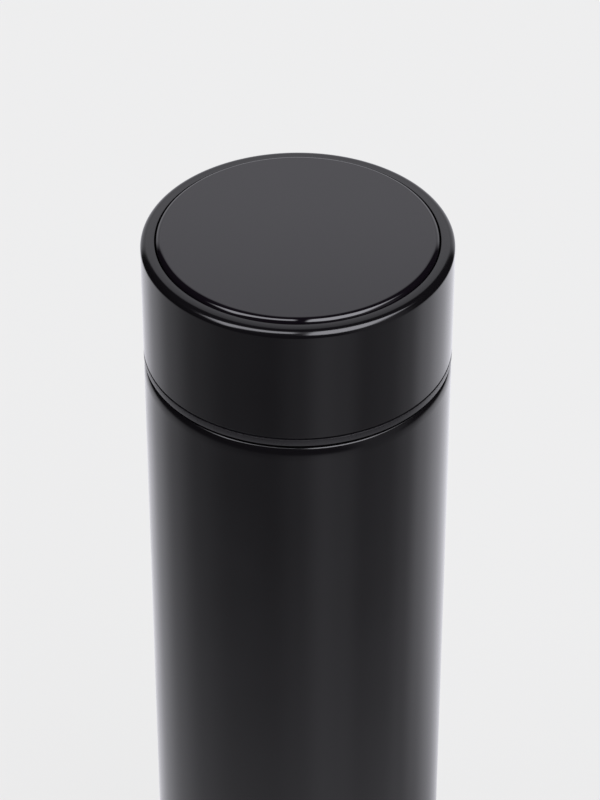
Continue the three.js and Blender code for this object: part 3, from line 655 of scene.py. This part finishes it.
# Foam cells are about 0.6 mm across.
cells = add(tree, "ShaderNodeTexVoronoi", {"Vector": place, "Scale": across(0.6)})
# Painted shade: the colour darkens where the bump below sinks into a pit.
vary(tree, surface, cells.outputs["Distance"], ("#d8d4c6", "#efece1"), (0.85, 1.0))
ripple = add(tree, "ShaderNodeBump", {
    "Height": cells.outputs["Distance"], "Strength": 0.6, "Distance": 0.2 * MM,
})
tree.links.new(ripple.outputs["Normal"], surface.inputs["Normal"])
dress("thermistor", epoxy_bead)
dress("sensor_wire", red_sleeve)
dress("insulation_foam", foam)


# ---------------------------------------------------------------------------
# Inside the vacuum space: the stepped steel base plate, the pressed getter pellet and the bead of glass
# solder melted over the evacuation port.

# Pressed metal powder: dark grey and gritty, half metal to the eye, with grains of about 0.4 mm.
getter_metal, tree, surface, place = material("pressed_getter_powder", {"Metallic": 0.5})
grit = add(tree, "ShaderNodeTexNoise", {"Vector": place, "Scale": across(0.4), "Detail": 4.0})
vary(tree, surface, grit.outputs["Fac"], ("#4e4e52", "#6c6c70"), (0.6, 0.85))

# Melted lead glass: a dark green-grey drop with a wet shine, streaked about a millimetre wide.
port_glass, tree, surface, place = material("melted_glass_solder", {"IOR": 1.7})
swirl = add(tree, "ShaderNodeTexNoise", {"Vector": place, "Scale": across(1.1), "Detail": 3.0})
vary(tree, surface, swirl.outputs["Fac"], ("#333f37", "#48564c"), (0.1, 0.25))
dress("vacuum_base", base_steel)
dress("getter", getter_metal)
dress("port_seal", port_glass)


# ---------------------------------------------------------------------------
# Studio. A pale paper floor lit from all round, soft white surroundings behind and beside the flask,
# a dark room behind the camera, and two long softboxes overhead that draw the lines on the rims.

# Paper lit from all round: it glows by itself for the most part, so the flask's shadow on it stays faint.
PAPER, PAPER_GLOW, PAPER_SHADE = 0.855, 0.92, 0.04
paper, tree, surface, place = material("pale_paper_floor", {
    "Base Color": (PAPER_SHADE,) * 3 + (1,),
    "Roughness": 0.9,
    "Specular IOR Level": 0.0,
    "Emission Color": (PAPER * PAPER_GLOW,) * 3 + (1,),
    "Emission Strength": 1.0,
})
# The floor reaches FLOOR_REACH metres each way and lies just under the foot ring, clear of it.
FLOOR_REACH, FLOOR_DROP = 30.0, 0.2 * MM
floor_mesh = bpy.data.meshes.new("paper_floor")
floor_mesh.from_pydata(
    [(FLOOR_REACH * x, FLOOR_REACH * y, 0) for x, y in ((-1, -1), (1, -1), (1, 1), (-1, 1))],
    [],
    [(0, 1, 2, 3)],
)
floor_mesh.materials.append(paper)
floor = bpy.data.objects.new("paper_floor", floor_mesh)
floor.location.z = -FLOOR_DROP
floor.visible_glossy = False
bpy.context.scene.collection.objects.link(floor)

world = bpy.data.worlds.new("studio")
bpy.context.scene.world = world
world.use_nodes = True
tree = world.node_tree
tree.nodes.clear()
way = add(tree, "ShaderNodeTexCoord").outputs["Generated"]
split = add(tree, "ShaderNodeSeparateXYZ", {"Vector": way})
right, back, up = (split.outputs[k] for k in "XYZ")

# Brightness round the foot by compass angle from the camera's side, left then right, further off and
# close by, and of the white backdrop by elevation, in degrees. A ramp holds each as a part of PEAK.
PEAK = 1.4
front = add(tree, "ShaderNodeMath", {0: back, 1: -1.0}, operation="MULTIPLY")
around = add(tree, "ShaderNodeMath", {0: right, 1: front.outputs["Value"]}, operation="ARCTAN2")
compass = add(tree, "ShaderNodeMath", {
    0: around.outputs["Value"], 1: 0.5 / math.pi, 2: 0.5,
}, operation="MULTIPLY_ADD")
low_ramp = add(tree, "ShaderNodeValToRGB", {"Fac": compass.outputs["Value"]})
near_ramp = add(tree, "ShaderNodeValToRGB", {"Fac": compass.outputs["Value"]})
back_ramp = add(tree, "ShaderNodeValToRGB", {"Fac": up})
ROUND_FOOT = (
    (-180, 1.12), (-150, 1.06), (-132, 0.80), (-108, 0.50), (-81, 0.28), (-50, 0.17),
    (-20, 0.14), (0, 0.25), (20, 0.50), (34, 0.42), (52, 0.23), (72, 0.26),
    (90, 0.42), (108, 0.86), (128, 1.10), (150, 1.26), (180, 1.14),
)
NEAR_FOOT = ((-180, 0.9), (40, 0.9), (85, 0.75), (110, 0.15), (140, 0.15), (170, 0.5), (180, 0.9))
BACKDROP = (
    (0, 0.95), (24, 0.88), (30, 0.88), (33, 1.14), (35, 1.17), (36, 1.10),
    (36.8, 1.01), (38, 0.92), (40, 0.78), (42, 0.60), (48, 0.26), (56, 0.01),
)
for ramp, levels, place_of in (
    (low_ramp, ROUND_FOOT, lambda angle: angle / 360 + 0.5),
    (near_ramp, NEAR_FOOT, lambda angle: angle / 360 + 0.5),
    (back_ramp, BACKDROP, lambda angle: math.sin(math.radians(angle))),
):
    stops = ramp.color_ramp.elements
    while len(stops) < len(levels):
        stops.new(0.5)
    for stop, (angle, level) in zip(stops, levels):
        stop.position = place_of(angle)
        stop.color = (level / PEAK,) * 3 + (1,)
low_ramp.color_ramp.interpolation = "EASE"
far_foot, near_foot, backdrop = (
    add(tree, "ShaderNodeMath", {0: ramp.outputs["Color"], 1: PEAK}, operation="MULTIPLY").outputs["Value"]
    for ramp in (low_ramp, near_ramp, back_ramp)
)
off_centre = add(tree, "ShaderNodeMath", {0: right}, operation="ABSOLUTE")
# Each part of the room comes in along one direction, from none of it at the first bound to all at the
# second. Away from the middle the backdrop ends sooner.
bounds = {
    "near_foot": (up, -0.625, -0.80),
    "over_floor": (up, -0.51, -0.39),
    "behind": (back, 0.50, 0.74),
    "well_behind": (back, 0.69, 0.79),
    "aside": (off_centre.outputs["Value"], 0.12, 0.32),
    "to_the_right": (right, 0.45, 0.75),
    "in_front": (back, 0.0, -0.35),
}
# Each softbox reaches from inner to outer across and from near to far in depth, all as parts of a
# direction of length 1, and doesn't shine below low_end. The right one's far edge slants.
SOFTBOXES = {
    "left": {
        "side": -1.0, "inner": 0.02, "outer": 0.75, "near": -0.60, "far": -0.16, "slant": 0.0,
        "low_end": 0.37, "strength": 6.0,
    },
    "right": {
        "side": 1.0, "inner": 0.10, "outer": 0.75, "near": -0.88, "far": -0.25, "slant": -0.4,
        "low_end": 0.36, "strength": 7.0,
    },
}
# Half the width over which each edge of a softbox fades.
FADE = {"inner": 0.03, "outer": 0.1, "near": 0.05, "far": 0.04, "low_end": 0.08}
for name, box in SOFTBOXES.items():
    sideways = add(tree, "ShaderNodeMath", {0: right, 1: box["side"]}, operation="MULTIPLY")
    depth = add(tree, "ShaderNodeMath", {0: right, 1: box["slant"], 2: back}, operation="MULTIPLY_ADD")
    for edge, value, sign in (
        ("inner", sideways.outputs["Value"], 1),
        ("outer", sideways.outputs["Value"], -1),
        ("near", back, 1),
        ("far", depth.outputs["Value"], -1),
        ("low_end", up, 1),
    ):
        bounds[f"{name}_{edge}"] = (value, box[edge] - sign * FADE[edge], box[edge] + sign * FADE[edge])
part = {}
for name, (value, none_at, all_at) in bounds.items():
    part[name] = add(tree, "ShaderNodeMapRange", {
        "Value": value, "From Min": none_at, "From Max": all_at, "To Min": 0.0, "To Max": 1.0,
    }, interpolation_type="SMOOTHSTEP").outputs["Result"]
# Layers laid over one another: the paper round the foot, the dark room with its dim right corner, and the
# backdrop in it.
DARK_ROOM, DIM_CORNER = 0.012, 0.24
low = add(tree, "ShaderNodeMix", {"Factor": part["near_foot"], "A": far_foot, "B": near_foot})
corner = add(tree, "ShaderNodeMath", {
    0: part["to_the_right"], 1: part["in_front"],
}, operation="MULTIPLY")
room = add(tree, "ShaderNodeMix", {"Factor": corner.outputs["Value"], "A": DARK_ROOM, "B": DIM_CORNER})
reach = add(tree, "ShaderNodeMix", {"Factor": part["aside"], "A": part["behind"], "B": part["well_behind"]})
high = add(tree, "ShaderNodeMix", {
    "Factor": reach.outputs["Result"], "A": room.outputs["Result"], "B": backdrop,
})
level = add(tree, "ShaderNodeMix", {
    "Factor": part["over_floor"], "A": low.outputs["Result"], "B": high.outputs["Result"],
}).outputs["Result"]
for name, box in SOFTBOXES.items():
    shine = box["strength"]
    for edge in FADE:
        lit = add(tree, "ShaderNodeMath", {0: shine, 1: part[f"{name}_{edge}"]}, operation="MULTIPLY")
        shine = lit.outputs["Value"]
    level = add(tree, "ShaderNodeMath", {0: level, 1: shine}, operation="ADD").outputs["Value"]
# The camera itself sees plain paper past the floor's edge; the light of the room is slightly cool.
COOL, PLAIN = (0.985, 0.98, 1.05, 1), (1.0, 1.0, 1.0, 1)
seen = add(tree, "ShaderNodeLightPath").outputs["Is Camera Ray"]
level = add(tree, "ShaderNodeMix", {"Factor": seen, "A": level, "B": PAPER}).outputs["Result"]
hue = add(tree, "ShaderNodeMix", {"Factor": seen, "A": COOL, "B": PLAIN}, data_type="RGBA")
glow = add(tree, "ShaderNodeBackground", {"Color": hue.outputs["Result"], "Strength": level})
sky = add(tree, "ShaderNodeOutputWorld")
tree.links.new(glow.outputs["Background"], sky.inputs["Surface"])


# ---------------------------------------------------------------------------
# Camera. A long lens about 0.7 m from the lid that looks down on it at about 38 degrees. The frame cuts
# the flask off below.

# Sensor and lens are in mm, the place is in metres from the axis and above the lid, the tilt in degrees.
SENSOR, LENS = 36.0, 152.56
ASIDE, AWAY, ABOVE_LID, LOOKING_DOWN = 0.00047, 0.57782, 0.41194, 38.219
camera_data = bpy.data.cameras.new("camera")
camera_data.sensor_fit = "VERTICAL"
camera_data.sensor_height = SENSOR
camera_data.sensor_width = SENSOR
camera_data.lens = LENS
camera = bpy.data.objects.new("camera", camera_data)
bpy.context.scene.collection.objects.link(camera)
camera.location = (ASIDE, -AWAY, LID_TOP * MM + ABOVE_LID)
camera.rotation_euler = (math.radians(90 - LOOKING_DOWN), 0, 0)
bpy.context.scene.camera = camera
bpy.context.scene.view_settings.view_transform = "Standard"
